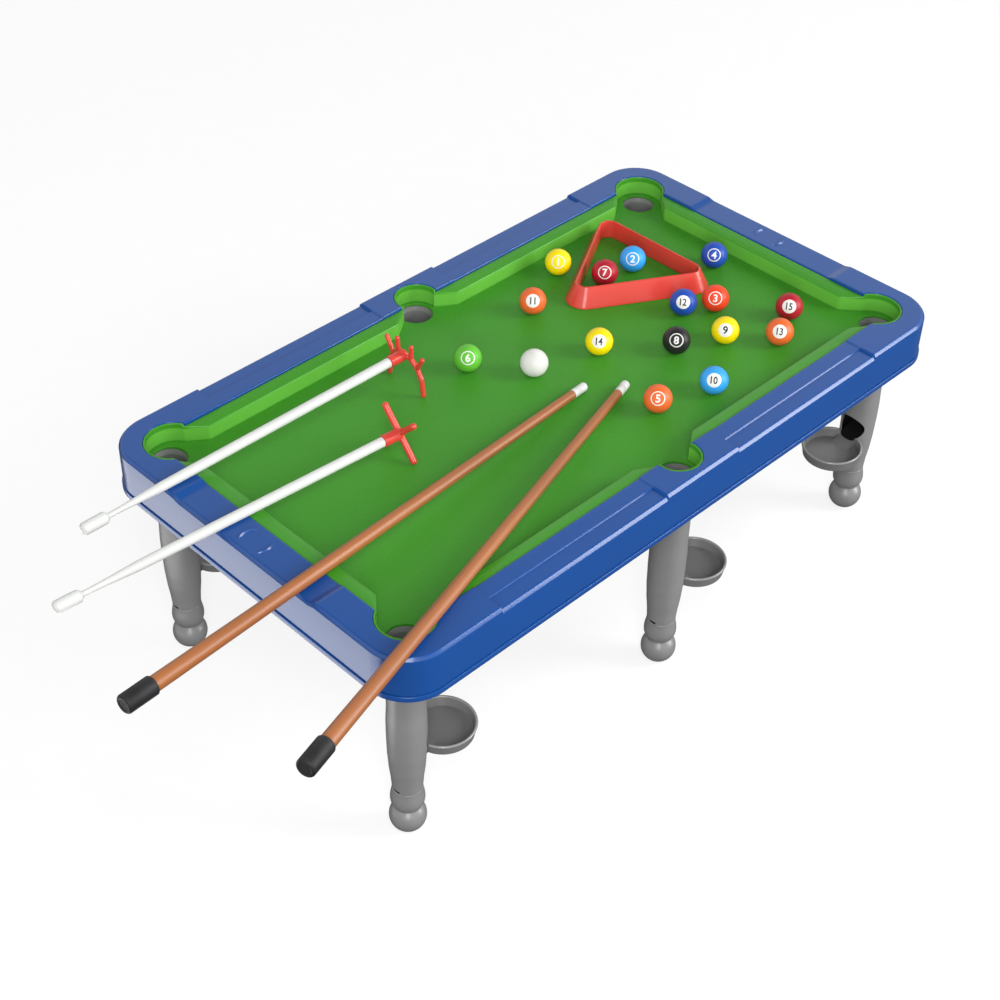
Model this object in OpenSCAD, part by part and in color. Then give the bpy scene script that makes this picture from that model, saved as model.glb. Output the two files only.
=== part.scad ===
// Mini pool table on six ball-return legs, with sixteen balls, two cues, two cue rests and a ball rack.
// X runs along the table, +Y is the back, Z is up. The origin is the bottom centre of the whole set's
// box, because the cues and rests reach out past the left end of the table.

/* [Table] */
// Length of the blue frame
frame_l = 530; // [515:5:545]
// Width of the blue frame
frame_w = 298; // [292:2:306]
// Height of the frame's caps above the ground
table_h = 187; // [180:1:195]
// Depth of the frame's skirt
skirt_h = 35; // [33:1:37]
// Corner radius of the frame
corner_r = 31; // [28:1:33]
// Wall of the skirt
skirt_t = 2.5; // [2:0.1:3]
// Thickness of the frame's top plate under the caps
plate_t = 4.5; // [4:0.1:5]
// Width of the frame's top at the two ends
end_rail_w = 24.5; // [23:0.5:26]
// Width of the frame's top along the two sides
side_rail_w = 26; // [25:0.5:27]
// How far the skirt's bottom lip stands out
lip_out = 0.9; // [0.4:0.1:1.5]
// Height of the bottom lip
lip_h = 4; // [3:0.5:6]

/* [Playing bed] */
// Depth of the bed below the caps
bed_depth = 15; // [13:0.5:16]
// Wall of the bed moulding
bed_t = 2; // [1.6:0.1:2.4]
// Width of a cushion at the two ends
end_cushion_w = 11.5; // [10:0.5:13]
// Width of a cushion along the two sides
side_cushion_w = 10.3; // [9:0.1:12]
// Drop from the caps to the top of the cushions
cushion_drop = 2.6; // [2:0.1:3]
// Radius of the four corner pockets
corner_pocket_r = 18; // [17:0.5:19]
// Radius of the two middle pockets
middle_pocket_r = 15.4; // [14:0.2:16]
// Radius of the ball holes in the bed's floor
hole_r = 12.5; // [11.5:0.1:12.8]

/* [Legs] */
// Radius of the bore that the balls fall down
bore_r = 11; // [10.6:0.1:11.2]
// Radius of the round window that lets a ball out
window_r = 11; // [10.6:0.1:11.2]
// Height of the window's centre
window_z = 83.5; // [82:0.5:85]
// Outer radius of a ball tray at its rim
tray_r = 22.5; // [20:0.5:25]
// Height of a tray's rim
tray_z = 76; // [75:0.5:77]
// Wall of a tray
tray_t = 1.5; // [1.2:0.1:2]
// Distance from a leg's axis to its tray's centre
tray_reach = 31; // [29:0.5:33]
// Radius of the bulb at the bottom of a foot
foot_r = 12.5; // [11.5:0.1:13.5]

/* [Balls and rack] */
// Diameter of a ball
ball_d = 20; // [18:0.5:20]
// Height of the rack
rack_h = 15; // [12:0.5:18]
// Distance from the rack's centre to a side, at its bottom
rack_bottom_in = 38; // [37:0.5:39.5]
// Distance from the rack's centre to a side, at its top
rack_top_in = 31.2; // [30:0.2:34]
// Wall of the rack
rack_t = 1.5; // [1.2:0.1:2]

/* [Cues and rests] */
// Length of a cue
cue_l = 425; // [400:5:440]
// Diameter of a cue at its tip
cue_tip_d = 6.5; // [6:0.1:7]
// Diameter of a cue where it meets the butt cap
cue_butt_d = 10.4; // [9.5:0.1:11]
// Diameter of the butt cap
butt_cap_d = 12.5; // [12:0.1:13.5]
// Length of the butt cap
butt_cap_l = 22; // [18:1:30]
// Length of the tip piece
tip_l = 14; // [12:1:18]
// Length of a rest, from its head to the end of its knob
rest_l = 262; // [240:1:270]
// Diameter of a rest's shaft
rest_d = 7; // [6:0.1:7.4]
// Diameter of a rest's end knob
knob_d = 8.5; // [8:0.1:9.5]
// Height of the spider head's arch above the bed
spider_h = 28; // [26:0.5:30]

/* [Hidden] */
// Small gap between pieces that lie on each other
gap = 0.3;
// Overlap that keeps cuts clean
eps = 1;

// Levels
skirt_z = table_h - skirt_h;
plate_z = table_h - plate_t;
bed_z = table_h - bed_depth;
bed_under = bed_z - bed_t;
cushion_z = table_h - cushion_drop;
end_rail_z = table_h - 1.5;
side_rail_in_z = table_h - 0.9;
side_rail_out_z = table_h - 2;
flange_z = bed_z + 2;
flange_t = 2;

// Half sizes of the green top and of the cushion nose lines
green_x = frame_l / 2 - end_rail_w;
green_y = frame_w / 2 - side_rail_w;
nose_x = green_x - end_cushion_w;
nose_y = green_y - side_cushion_w;

// Pockets, their green rims and the leg axes, measured in from the frame's edges
corner_pocket = [frame_l / 2 - 33.5, frame_w / 2 - 35];
middle_pocket = [0, frame_w / 2 - 23.5];
rim_t = 1.3;
corner_leg = [frame_l / 2 - 31, frame_w / 2 - 33];
middle_leg = [0, frame_w / 2 - 22.5];

// Where the cushions end beside the pockets
corner_end_gap = 29.5;
corner_side_gap = 29;
middle_gap = 29.7;

// Leg sockets under the bed
socket_r = 15.4;
socket_bore_r = 13.2;
socket_z = bed_z - 16;

// Leg tube, as radius and height from the bottom up
plug_r = 12.9;
tube_top_z = bed_under - gap;
tube_z = 40;
cavity_r = 8.3;
spigot_l = 14;
slot_w = 15.6;
ramp_w = 15;
ramp_slope = 0.4;
ramp_end = 20;
tray_depth = 8;
notch = [5, 6, 2.5];

// Screws that hold the bed under the frame
boss_r = 4;
screw_r = 1.4;
screw_head_r = 2.8;
screw_head_h = 1.8;
screw_l = 7.5;
screw_side_y = frame_w / 2 - 18;
screw_end_x = frame_l / 2 - 16.5;
SCREWS = concat(
    [for (x = [-180, -60, 60, 180], s = [-1, 1]) [x, s * screw_side_y]],
    [for (s = [-1, 1], y = [-50, 50]) [s * screw_end_x, y]]
);

// Caps that stand above the rails: half length in the middle, start at the corners
middle_cap = 35;
corner_cap_x = 185;
corner_cap_y = 70;
side_step_y = green_y + 12.7;

// Places of the six legs: name, side along X, side along Y
PLACES = [
    ["front_left", -1, -1],
    ["front_middle", 0, -1],
    ["front_right", 1, -1],
    ["back_left", -1, 1],
    ["back_middle", 0, 1],
    ["back_right", 1, 1]
];

// Balls on the bed: name, place from the table's centre, colour
BALLS = [
    ["cue", 9, 14, "white"],
    ["01", 114, 91, "gold"],
    ["02", 158, 55, "deepskyblue"],
    ["03", 163, -22, "red"],
    ["04", 207, 16, "navy"],
    ["05", 41, -73, "orange"],
    ["06", -21, 50, "green"],
    ["07", 129, 57, "firebrick"],
    ["08", 102, -37, "black"],
    ["09", 137, -53, "gold"],
    ["10", 85, -86, "deepskyblue"],
    ["11", 63, 68, "orangered"],
    ["12", 142, -9, "mediumblue"],
    ["13", 164, -81, "darkorange"],
    ["14", 61, 0, "yellow"],
    ["15", 194, -66, "darkred"]
];

// Rack on the bed
rack_at = [151, 53.3];
rack_bottom_corner_r = 14;
rack_top_corner_r = 8;
rack_groove_h = 10.5;

// Cues: name, tip place, heading of the butt, and the rail that each one leans on
cue_one_at = [21.7, -23];
cue_one_heading = 186;
cue_two_at = [44.6, -41];
cue_two_heading = 198.15;
CUES = [
    ["one", cue_one_at, cue_one_heading, end_rail_z, (green_x + cue_one_at[0]) / cos(cue_one_heading - 180)],
    ["two", cue_two_at, cue_two_heading, table_h, (green_y + cue_two_at[1]) / sin(cue_two_heading - 180)]
];
tip_spigot_r = 2;
butt_spigot_r = 4;

// Rests: place of the head's middle and heading of the knob
spider_at = [-66, 66.4];
spider_heading = 177;
cross_at = [-119, 14.1];
cross_heading = 176;
cross_z = end_rail_z + gap + rest_d / 2;
sleeve_d = 8.4;
sleeve_l = 14;
knob_l = 20;
neck_d = 3.6;
neck_taper_l = 40;
arm_r = 2.3;
spider_arm_r = 1.9;
cross_reach = cross_z - bed_z - gap - arm_r;

// The rest shafts' slope down to the outside edge of the frame
spider_run = (frame_l / 2 + spider_at[0]) / cos(180 - spider_heading);
spider_pitch = atan((table_h + gap + rest_d / 2 - bed_z - spider_h) / spider_run);

// Slope of a cue from its tip on the bed up to the rail that it leans on
function cue_radius(run) = (cue_tip_d + (cue_butt_d - cue_tip_d) * run / cue_l) / 2;
function cue_pitch(cue) = atan((cue[3] - bed_z + cue_radius(cue[4]) - cue_tip_d / 2) / cue[4]);

// Box of the whole set in plan: the frame on the right and at the back, the butts on the left and in front
function butt_end(cue, along) =
    cue[1] + cue_l * cos(cue_pitch(cue)) * [cos(cue[2]), sin(cue[2])] + along;
butt_r = butt_cap_d / 2;
set_left = butt_end(CUES[0], [-butt_r * sqrt(1 - pow(cos(CUES[0][2]) * cos(cue_pitch(CUES[0])), 2)), 0])[0];
set_front = butt_end(CUES[1], [0, -butt_r * sqrt(1 - pow(sin(CUES[1][2]) * cos(cue_pitch(CUES[1])), 2))])[1];
set_right = frame_l / 2 + lip_out;
set_back = frame_w / 2 + lip_out;
table_shift = [-(set_left + set_right) / 2, -(set_front + set_back) / 2, 0];

// ---- Helpers ----

// Point beyond b on the line from a to b
function beyond(a, b, extra) = b + (b - a) / norm(b - a) * extra;
function mirrored(points, sx, sy) = [for (p = points) [sx * p[0], sy * p[1]]];
function reversed(points) = [for (i = [len(points) - 1:-1:0]) points[i]];
function all_quarters(points) = concat(
    points,
    reversed(mirrored(points, -1, 1)),
    mirrored(points, -1, -1),
    reversed(mirrored(points, 1, -1))
);

// Half-cosine blend between two profile points, each [radius, height]
function blend(a, b, steps) = [
    for (i = [1:steps])
        [a[0] + (b[0] - a[0]) * (1 - cos(180 * i / steps)) / 2, a[1] + (b[1] - a[1]) * i / steps]
];

module on_table() {
    translate(table_shift) children();
}

module rounded_block(length, width, radius, z, height) {
    step = 7.5;
    quarter = [
        for (a = [0:step:90])
            [length / 2 - radius + radius * cos(a), width / 2 - radius + radius * sin(a)]
    ];
    translate([0, 0, z]) linear_extrude(height) polygon(all_quarters(quarter));
}

module lathe(profile) {
    rotate_extrude($fn = 96) polygon(profile);
}

// A stick's own frame: its axis is +X from the head or tip, rising by pitch and turned to heading
module along_stick(start, heading, pitch) {
    on_table() translate(start) rotate([0, -pitch, heading]) children();
}

module rod(from, length, r1, r2) {
    translate([from, 0, 0]) rotate([0, 90, 0]) cylinder(h = length, r1 = r1, r2 = r2, $fn = 48);
}

module limb(a, b, r) {
    hull() {
        translate(a) sphere(r, $fn = 20);
        translate(b) sphere(r, $fn = 20);
    }
}

function leg_axis(p) = p[1] == 0 ? [0, p[2] * middle_leg[1]] : [p[1] * corner_leg[0], p[2] * corner_leg[1]];
function pocket_centre(p) =
    p[1] == 0 ? [0, p[2] * middle_pocket[1]] : [p[1] * corner_pocket[0], p[2] * corner_pocket[1]];
function pocket_radius(p) = p[1] == 0 ? middle_pocket_r : corner_pocket_r;

// A leg's own frame: its axis at the origin and its tray towards +X
module at_leg(p) {
    turn = p[1] > 0 ? 180 : 0;
    on_table() translate(leg_axis(p)) rotate([0, 0, turn]) children();
}

// ---- Frame ----

// Space that the green bed's top takes in the frame, larger all round by grow
module green_space(grow, z, height) {
    translate([-green_x - grow, -green_y - grow, z]) cube([2 * (green_x + grow), 2 * (green_y + grow), height]);
    for (p = PLACES)
        translate(concat(pocket_centre(p), z)) cylinder(h = height, r = pocket_radius(p) + rim_t + grow, $fn = 96);
}

module rail_cuts() {
    for (s = [-1, 1]) {
        // Sides: a low outer strip and a slightly sunk inner strip between the caps
        for (x = [-corner_cap_x, middle_cap]) {
            translate([x, s * side_step_y - (s < 0 ? frame_w : 0), side_rail_out_z])
                cube([corner_cap_x - middle_cap, frame_w, plate_t]);
            translate([x, s * green_y - (s < 0 ? frame_w : 0), side_rail_in_z])
                cube([corner_cap_x - middle_cap, frame_w, plate_t]);
        }
        // Ends
        translate([s * green_x - (s < 0 ? frame_l : 0), -corner_cap_y, end_rail_z])
            cube([frame_l, 2 * corner_cap_y, plate_t]);
    }
}

module frame() {
    color("royalblue") on_table() difference() {
        union() {
            difference() {
                union() {
                    rounded_block(frame_l, frame_w, corner_r, skirt_z, skirt_h);
                    rounded_block(frame_l + 2 * lip_out, frame_w + 2 * lip_out, corner_r + lip_out, skirt_z, lip_h);
                }
                rounded_block(frame_l - 2 * skirt_t, frame_w - 2 * skirt_t, corner_r - skirt_t,
                    skirt_z - eps, skirt_h - plate_t + eps);
            }
            for (s = SCREWS)
                translate(concat(s, flange_z + flange_t))
                    cylinder(h = plate_z - flange_z, r = boss_r, $fn = 48);
        }
        green_space(gap, plate_z - eps, plate_t + 2 * eps);
        rail_cuts();
        for (s = SCREWS)
            translate(concat(s, flange_z + flange_t - eps))
                cylinder(h = screw_l - flange_t + eps + gap, r = screw_r + 0.1, $fn = 32);
    }
}

// ---- Bed ----

// Outline of the open bed in one quarter: cushion ends and the jaws that lead into the pockets.
// Each jaw meets its pocket's wall just inside the edge of the green top.
jaw_extra = 3;
mouth_x = green_x - 0.6;
mouth_y = green_y - 0.6;
end_nose = [nose_x, corner_pocket[1] - corner_side_gap];
end_mouth = [mouth_x, corner_pocket[1] - sqrt(pow(corner_pocket_r, 2) - pow(mouth_x - corner_pocket[0], 2))];
side_nose = [corner_pocket[0] - corner_end_gap, nose_y];
side_mouth = [corner_pocket[0] - sqrt(pow(corner_pocket_r, 2) - pow(mouth_y - corner_pocket[1], 2)), mouth_y];
middle_nose = [middle_gap, nose_y];
middle_mouth = [sqrt(pow(middle_pocket_r, 2) - pow(mouth_y - middle_pocket[1], 2)), mouth_y];
play_quarter = [
    end_nose,
    beyond(end_nose, end_mouth, jaw_extra),
    beyond(side_nose, side_mouth, jaw_extra),
    side_nose,
    middle_nose,
    beyond(middle_nose, middle_mouth, jaw_extra)
];

module play_space() {
    translate([0, 0, bed_z]) linear_extrude(bed_depth + eps) polygon(all_quarters(play_quarter));
    for (p = PLACES)
        translate(concat(pocket_centre(p), bed_z)) cylinder(h = bed_depth + eps, r = pocket_radius(p), $fn = 96);
}

// Hollows under the cushions, open below
module cushion_hollows() {
    hollow_h = cushion_z - bed_t - bed_under;
    side_x = middle_nose[0] + bed_t + 1;
    side_l = side_nose[0] - bed_t - 1 - side_x;
    for (s = [-1, 1]) {
        for (x = [-side_x - side_l, side_x])
            translate([x, s * (nose_y + green_y) / 2 - side_cushion_w / 2 + bed_t, bed_under - eps])
                cube([side_l, side_cushion_w - 2 * bed_t, hollow_h + eps]);
        translate([s * (nose_x + green_x) / 2 - end_cushion_w / 2 + bed_t, -end_nose[1] + bed_t + 1, bed_under - eps])
            cube([end_cushion_w - 2 * bed_t, 2 * (end_nose[1] - bed_t - 1), hollow_h + eps]);
    }
}

module bed() {
    flange_out_x = 14.5;
    flange_out_y = 15;
    mouth_out = 0.3;
    color("limegreen") on_table() difference() {
        union() {
            // Body up to the cushion tops
            translate([-green_x, -green_y, bed_under]) cube([2 * green_x, 2 * green_y, cushion_z - bed_under]);
            // Pocket walls; only their outer part, beyond the cushions, rises to the caps
            for (p = PLACES) {
                difference() {
                    translate(concat(pocket_centre(p), bed_under))
                        cylinder(h = table_h - 0.2 - bed_under, r = pocket_radius(p) + rim_t, $fn = 96);
                    translate([mouth_out - green_x, mouth_out - green_y, cushion_z])
                        cube([2 * (green_x - mouth_out), 2 * (green_y - mouth_out), bed_depth]);
                }
                translate(concat(leg_axis(p), socket_z)) cylinder(h = bed_z - socket_z - eps, r = socket_r, $fn = 96);
            }
            rounded_block(2 * (green_x + flange_out_x), 2 * (green_y + flange_out_y), 24, flange_z, flange_t);
        }
        play_space();
        cushion_hollows();
        for (p = PLACES) {
            translate(concat(leg_axis(p), bed_under - eps)) cylinder(h = bed_t + 2 * eps, r = hole_r, $fn = 96);
            translate(concat(leg_axis(p), socket_z - eps))
                cylinder(h = bed_under - socket_z + eps, r = socket_bore_r, $fn = 96);
        }
        for (s = SCREWS)
            translate(concat(s, flange_z - eps)) cylinder(h = flange_t + 2 * eps, r = screw_r + 0.4, $fn = 32);
    }
}

module bed_screws() {
    color("silver") on_table() for (s = SCREWS) translate(concat(s, flange_z)) {
        translate([0, 0, -screw_head_h]) cylinder(h = screw_head_h, r = screw_head_r, $fn = 32);
        translate([0, 0, -eps / 2]) cylinder(h = screw_l + eps / 2, r = screw_r, $fn = 32);
    }
}

// ---- Legs ----

// The plug at the top fits the bed's socket; the lower bore takes the foot's spigot
module leg_tube(p) {
    profile = [
        [cavity_r, tube_z],
        [10.1, tube_z],
        [10.8, 50],
        [11.8, 59],
        [12.7, 73],
        [13.1, 90],
        [13.1, 103],
        [12.6, 115],
        [12.6, socket_z - 5],
        [plug_r, socket_z - 2],
        [plug_r, tube_top_z],
        [bore_r + 0.9, tube_top_z],
        [bore_r, tube_top_z - 3],
        [bore_r, 66],
        [cavity_r, 60]
    ];
    slot_z = tray_z - tray_depth - 0.2;
    color("gray") at_leg(p) difference() {
        lathe(profile);
        // Window and the slot under it that the tray's ramp passes through
        translate([0, 0, window_z]) rotate([0, 90, 0]) cylinder(h = 20, r = window_r, $fn = 96);
        translate([0, -slot_w / 2, slot_z]) cube([20, slot_w, window_z - slot_z]);
        // Notch at the joint with the foot
        translate([-cavity_r - notch[0], -notch[1] / 2, tube_z - eps]) cube([notch[0], notch[1], notch[2] + eps]);
    }
}

module foot(p) {
    bulb_z = foot_r - 0.5;
    start = asin(bulb_z / foot_r);
    bulb = [for (a = [-start:start / 8:0.01]) [foot_r * cos(a), bulb_z + foot_r * sin(a)]];
    neck = [11, 22.5];
    ring = [12, 30];
    shoulder = [10.3, tube_z];
    profile = concat(
        [[0, 0]],
        bulb,
        blend(bulb[8], neck, 6),
        blend(neck, ring, 5),
        blend(ring, shoulder, 6),
        [[cavity_r - 0.1, tube_z], [cavity_r - 0.1, tube_z + spigot_l], [0, tube_z + spigot_l]]
    );
    color("dimgray") at_leg(p) lathe(profile);
}

// A round dish outside the leg, with a ramp inside the leg that rolls the ball out to it
module tray(p) {
    bottom_z = tray_z - tray_depth;
    floor_z = bottom_z + tray_t;
    dish = [
        [0, bottom_z],
        [tray_r - 1.5, bottom_z],
        [tray_r, tray_z],
        [tray_r - tray_t, tray_z],
        [tray_r - 1.5 - tray_t, floor_z],
        [0, floor_z]
    ];
    ramp_top = floor_z + ramp_slope * (ramp_end + bore_r);
    color("darkgray") at_leg(p) union() {
        difference() {
            translate([tray_reach, 0, 0]) lathe(dish);
            cylinder(h = table_h, r = 13, $fn = 96);
        }
        intersection() {
            translate([0, ramp_w / 2, 0]) rotate([90, 0, 0]) linear_extrude(ramp_w)
                polygon([[-bore_r, bottom_z], [ramp_end, bottom_z], [ramp_end, floor_z], [-bore_r, ramp_top]]);
            union() {
                cylinder(h = table_h, r = bore_r - 0.2, $fn = 96);
                translate([0, -ramp_w, 0]) cube([ramp_end + eps, 2 * ramp_w, table_h]);
            }
        }
    }
}

// ---- Balls and rack ----

module ball(b) {
    color(b[3]) on_table() translate([b[1], b[2], bed_z + gap + ball_d / 2]) sphere(d = ball_d, $fn = 96);
}

// Outside of the rack, which flares towards its foot
module rack_block(shrink, below) {
    hull() for (turn = [60, 180, 300]) rotate([0, 0, turn]) {
        translate([2 * (rack_bottom_in - rack_bottom_corner_r), 0, -below])
            cylinder(h = 0.2 + below, r = rack_bottom_corner_r - shrink, $fn = 48);
        translate([2 * (rack_top_in - rack_top_corner_r), 0, rack_h - 0.2])
            cylinder(h = 0.2, r = rack_top_corner_r - shrink, $fn = 48);
    }
}

// Upright inside of the rack, moved outwards by grow
module rack_well(grow) {
    hull() for (turn = [60, 180, 300]) rotate([0, 0, turn])
        translate([2 * (rack_top_in - rack_top_corner_r), 0, -1])
            cylinder(h = rack_h + 2, r = rack_top_corner_r - rack_t + grow, $fn = 48);
}

module rack() {
    color("red") on_table() translate(concat(rack_at, bed_z + gap)) difference() {
        rack_block(0, 0);
        rack_well(0);
        // Groove underneath that leaves an even wall
        intersection() {
            difference() {
                rack_block(rack_t, eps);
                rack_well(rack_t);
            }
            cylinder(h = 2 * rack_groove_h, r = frame_w, center = true);
        }
    }
}

// ---- Cues ----

module along_cue(c) {
    along_stick(concat(c[1], bed_z + gap + cue_tip_d / 2), c[2], cue_pitch(c)) children();
}

module cue_shaft(c) {
    start = tip_l;
    length = cue_l - tip_l - butt_cap_l;
    color("sienna") along_cue(c) union() {
        rod(start, length, cue_radius(start), cue_radius(start + length));
        rod(start - 10, 10 + eps, tip_spigot_r, tip_spigot_r);
        rod(start + length - eps, 18 + eps, butt_spigot_r, butt_spigot_r);
    }
}

module cue_tip(c) {
    round_l = 2;
    color("white") along_cue(c) difference() {
        union() {
            rod(0, round_l, cue_radius(0) - 1.2, cue_radius(round_l));
            rod(round_l, tip_l - round_l, cue_radius(round_l), cue_radius(tip_l));
        }
        rod(tip_l - 10.5, 10.5 + eps, tip_spigot_r + 0.05, tip_spigot_r + 0.05);
    }
}

module cue_butt(c) {
    start = cue_l - butt_cap_l;
    bevel = 1.5;
    color("black") along_cue(c) difference() {
        union() {
            rod(start, bevel, butt_r - 1, butt_r);
            rod(start + bevel, butt_cap_l - 2 * bevel, butt_r, butt_r);
            rod(cue_l - bevel, bevel, butt_r, butt_r - bevel / 2);
        }
        rod(start - eps, 18.5 + eps, butt_spigot_r + 0.05, butt_spigot_r + 0.05);
    }
}

// ---- Rests ----

module along_spider() {
    along_stick(concat(spider_at, bed_z + spider_h), spider_heading, spider_pitch) children();
}

module along_cross() {
    along_stick(concat(cross_at, cross_z), cross_heading, 0) children();
}

module rest_sleeve() {
    difference() {
        rod(0, sleeve_l, sleeve_d / 2, sleeve_d / 2);
        rod(2, sleeve_l, rest_d / 2 - 0.45, rest_d / 2 - 0.45);
    }
}

module rest_shaft() {
    neck_at = rest_l - knob_l;
    rod(2.5, sleeve_l - 2.5 + eps, rest_d / 2 - 0.5, rest_d / 2 - 0.5);
    rod(sleeve_l, neck_at - neck_taper_l - sleeve_l, rest_d / 2, rest_d / 2);
    rod(neck_at - neck_taper_l, neck_taper_l, rest_d / 2, neck_d / 2);
    rod(neck_at - eps, 12 + eps, 1.5, 1.5);
}

module rest_knob() {
    neck_at = rest_l - knob_l;
    round_l = 3;
    difference() {
        union() {
            rod(neck_at, round_l, neck_d / 2, knob_d / 2);
            rod(neck_at + round_l, knob_l - 2 * round_l, knob_d / 2, knob_d / 2);
            rod(rest_l - round_l, round_l, knob_d / 2, knob_d / 4);
        }
        rod(neck_at - eps, 12.5 + eps, 1.55, 1.55);
    }
}

// Arch that stands over a ball, with four fingers that hold the cue
module spider_head() {
    foot_z = gap + spider_arm_r - spider_h;
    legs = [[0, 0], [7, -1], [13, -6], [17, -13], [18.5, foot_z]];
    inner_finger = [7.5, 9.5];
    outer_finger = [19, 5];
    color("red") along_spider() {
        rest_sleeve();
        for (s = [-1, 1]) {
            for (i = [0:len(legs) - 2])
                limb([0, s * legs[i][0], legs[i][1]], [0, s * legs[i + 1][0], legs[i + 1][1]], spider_arm_r);
            limb([0, s * legs[1][0], legs[1][1]], [0, s * inner_finger[0], inner_finger[1]], spider_arm_r - 0.2);
            limb([0, s * legs[2][0], legs[2][1]], [0, s * outer_finger[0], outer_finger[1]], spider_arm_r - 0.2);
        }
    }
}

module spider_shaft() {
    color("white") along_spider() rest_shaft();
}

module spider_knob() {
    color("white") along_spider() rest_knob();
}

// Four arms in a cross; the lower two stand on the bed
module cross_head() {
    color("red") along_cross() {
        rest_sleeve();
        for (turn = [45, 135])
            rotate([turn, 0, 0])
                limb([0, 0, -cross_reach * sqrt(2)], [0, 0, cross_reach * sqrt(2)], arm_r);
    }
}

module cross_shaft() {
    color("white") along_cross() rest_shaft();
}

module cross_knob() {
    color("white") along_cross() rest_knob();
}

// ---- The set ----

frame();
bed();
bed_screws();
for (p = PLACES) {
    leg_tube(p);
    foot(p);
    tray(p);
}
for (b = BALLS)
    ball(b);
for (c = CUES) {
    cue_shaft(c);
    cue_butt(c);
    cue_tip(c);
}
spider_head();
spider_shaft();
spider_knob();
cross_head();
cross_shaft();
cross_knob();
rack();
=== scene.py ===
"""Looks of the mini pool table set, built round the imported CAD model.

Sizes are in millimetres from the table's centre on the floor, as in the CAD source, and are turned
into metres of the row frame where meshes are made.
"""
import math

import bmesh
import bpy
from mathutils import Matrix, Vector
from mathutils.geometry import delaunay_2d_cdt


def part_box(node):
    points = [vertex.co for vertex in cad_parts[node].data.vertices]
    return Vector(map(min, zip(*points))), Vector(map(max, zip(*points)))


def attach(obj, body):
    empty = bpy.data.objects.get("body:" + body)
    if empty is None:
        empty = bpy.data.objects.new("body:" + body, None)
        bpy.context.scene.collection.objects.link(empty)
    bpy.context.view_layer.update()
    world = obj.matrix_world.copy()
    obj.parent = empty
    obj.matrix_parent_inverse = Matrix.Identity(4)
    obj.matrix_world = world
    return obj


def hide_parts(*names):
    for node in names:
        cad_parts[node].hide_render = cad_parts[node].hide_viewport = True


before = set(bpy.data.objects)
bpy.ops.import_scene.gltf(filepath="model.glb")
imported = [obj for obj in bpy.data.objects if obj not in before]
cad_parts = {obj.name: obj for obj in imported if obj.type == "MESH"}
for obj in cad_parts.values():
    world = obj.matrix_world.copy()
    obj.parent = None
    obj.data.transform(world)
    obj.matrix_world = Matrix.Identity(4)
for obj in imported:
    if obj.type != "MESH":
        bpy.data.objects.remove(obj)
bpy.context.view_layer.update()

MM = 0.001


def box_centre(name):
    low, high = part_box(name)
    return (low + high) / 2


CENTRE = box_centre("frame")

# ---- dimensions, as in the CAD source

LENGTH, WIDTH, TOP = 530.0, 298.0, 187.0
LIP_OUT, LIP_TOP, SKIRT_BOTTOM = 0.9, 156.0, 152.0
SKIRT_WALL, PLATE_UNDER = 2.5, 182.5
CORNER_R = 31.0
GREEN_X, GREEN_Y = 240.5, 123.0
NOSE_X, NOSE_Y = 229.0, 112.7
BED_Z, BED_UNDER = 172.0, 170.0
FIT = 0.3
CORNER_POCKET, CORNER_POCKET_R = (231.5, 114.0), 18.0
MIDDLE_POCKET, MIDDLE_POCKET_R = (0.0, 125.5), 15.4
RIM = 1.3
END_NOSE_Y, SIDE_NOSE_X, MIDDLE_NOSE_X = 85.0, 202.0, 29.7
CORNER_LEG, MIDDLE_LEG = (234.0, 116.0), (0.0, 126.5)
CORNER_CAP_X, CORNER_CAP_Y, MIDDLE_CAP_X = 185.0, 70.0, 35.0
STEP_Y = 135.7
SOCKET_Z, SOCKET_R, SOCKET_BORE_R, HOLE_R = 156.0, 15.4, 13.2, 12.5
TRAY_REACH, TRAY_R, TRAY_RIM_Z = 31.0, 22.5, 76.0
GREEN_EDGE_Z, NOSE_TOP_Z, BAND_TOP_Z, RIM_TOP_Z = 184.8, 183.9, 184.45, 186.85
LEG_BORE_R, LEG_R, CAVITY_R, CAVITY_TOP_Z, FOOT_TOP_Z = 11.0, 13.1, 8.3, 63.0, 40.0
BALL_R = 10.0

PLACES = {
    "front_left": (-1, -1), "front_middle": (0, -1), "front_right": (1, -1),
    "back_left": (-1, 1), "back_middle": (0, 1), "back_right": (1, 1),
}


def leg_axis(place):
    side_x, side_y = PLACES[place]
    if side_x == 0:
        return 0.0, side_y * MIDDLE_LEG[1]
    return side_x * CORNER_LEG[0], side_y * CORNER_LEG[1]


def row_point(x, y, z):
    """A point given in millimetres from the table's centre, in metres of the row frame."""
    return Vector((CENTRE.x + x * MM, CENTRE.y + y * MM, z * MM))


# ---- camera

CAMERA_AZIMUTH, CAMERA_ELEVATION = math.radians(-43.43), math.radians(39.73)
CAMERA_AIM = row_point(-121.8, -26.0, TOP)
CAMERA_DISTANCE, CAMERA_LENS, CAMERA_SHIFT = 1.1788, 65.29, (0.0619, -0.0341)
CAMERA_SIDE = Vector((
    math.sin(CAMERA_AZIMUTH) * math.cos(CAMERA_ELEVATION),
    -math.cos(CAMERA_AZIMUTH) * math.cos(CAMERA_ELEVATION),
    math.sin(CAMERA_ELEVATION),
))


def make_camera():
    data = bpy.data.cameras.new("camera")
    data.sensor_width, data.lens, data.clip_start = 36.0, CAMERA_LENS, 0.05
    data.shift_x, data.shift_y = CAMERA_SHIFT
    camera = linked("camera", data)
    camera.location = CAMERA_AIM + CAMERA_SIDE * CAMERA_DISTANCE
    camera.rotation_mode = "QUATERNION"
    camera.rotation_quaternion = (-CAMERA_SIDE).to_track_quat("-Z", "Y")
    bpy.context.scene.camera = camera
    return camera


# ---- materials

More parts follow.
